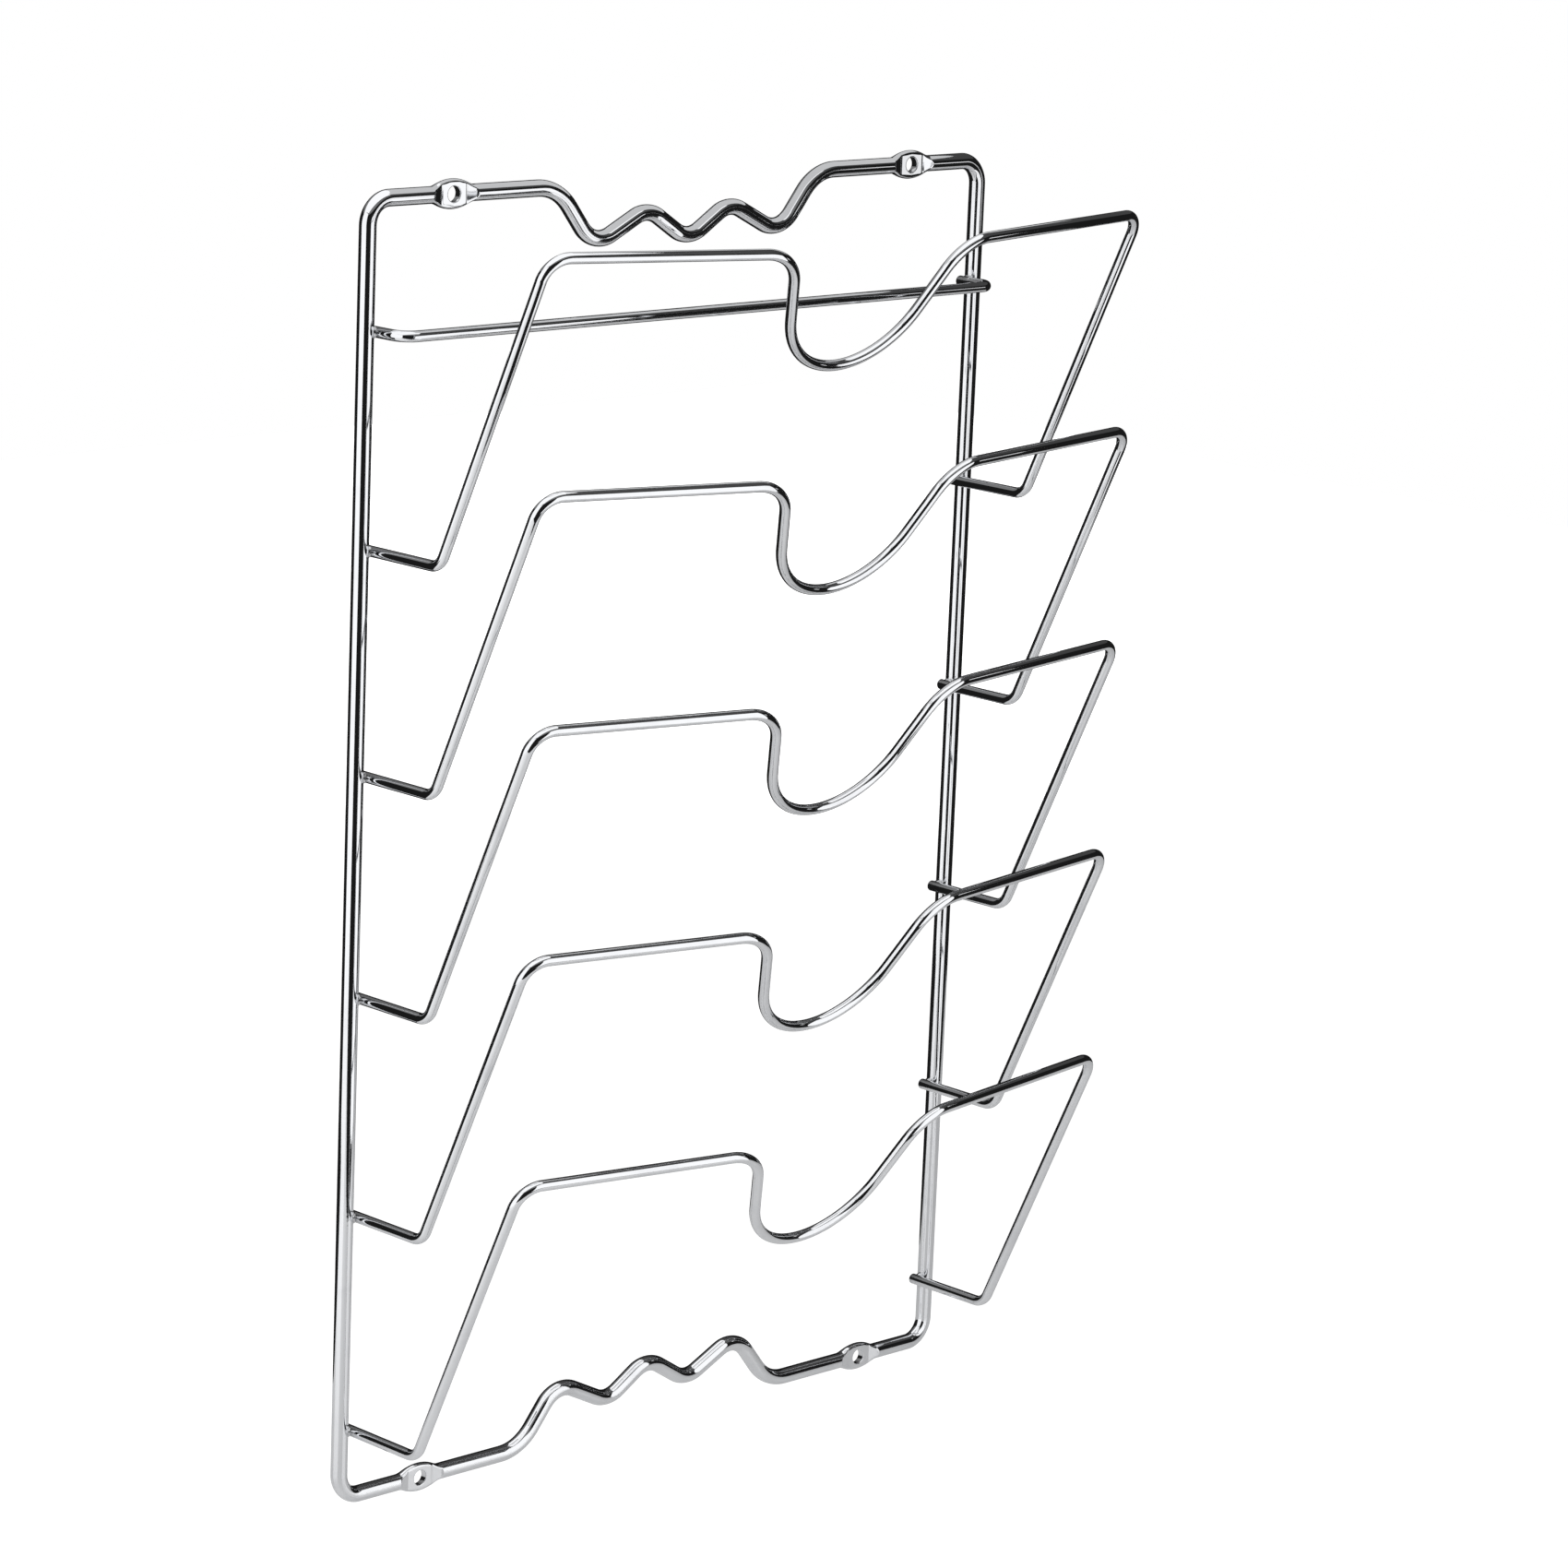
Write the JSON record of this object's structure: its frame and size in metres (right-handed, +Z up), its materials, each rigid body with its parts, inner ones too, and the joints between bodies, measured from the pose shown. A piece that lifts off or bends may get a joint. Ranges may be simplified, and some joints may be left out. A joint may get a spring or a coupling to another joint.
{
  "type": "pot lid rack",
  "caption": "Tall rack of bent chromed wire for a wall or door: closed frame with screw eyes, shallow crossbar and leaning holders that each take a pot cover, with a notch for its knob.",
  "frame": {"origin": "middle of the rectangle of the four fixing holes, halfway through the flat of their eyes; the wall is the plane y = 3 mm, which the back of the frame wire touches", "axes": "+Z up along the uprights, -Y out of the wall into the room, X along the front bars; a viewer in the room looks along +Y"},
  "size_m": [0.303, 0.1024, 0.4746],
  "materials": {
    "frame_chrome": "bright chrome plate on 6 mm steel wire",
    "wire_chrome": "bright chrome plate on 4 mm steel wire"
  },
  "bodies": {
    "root": {"frame": "frame_chrome", "top_crossbar": "wire_chrome", "lid_holder_1": "wire_chrome", "lid_holder_2": "wire_chrome", "lid_holder_3": "wire_chrome", "lid_holder_4": "wire_chrome", "lid_holder_5": "wire_chrome"}
  },
  "joints": []
}
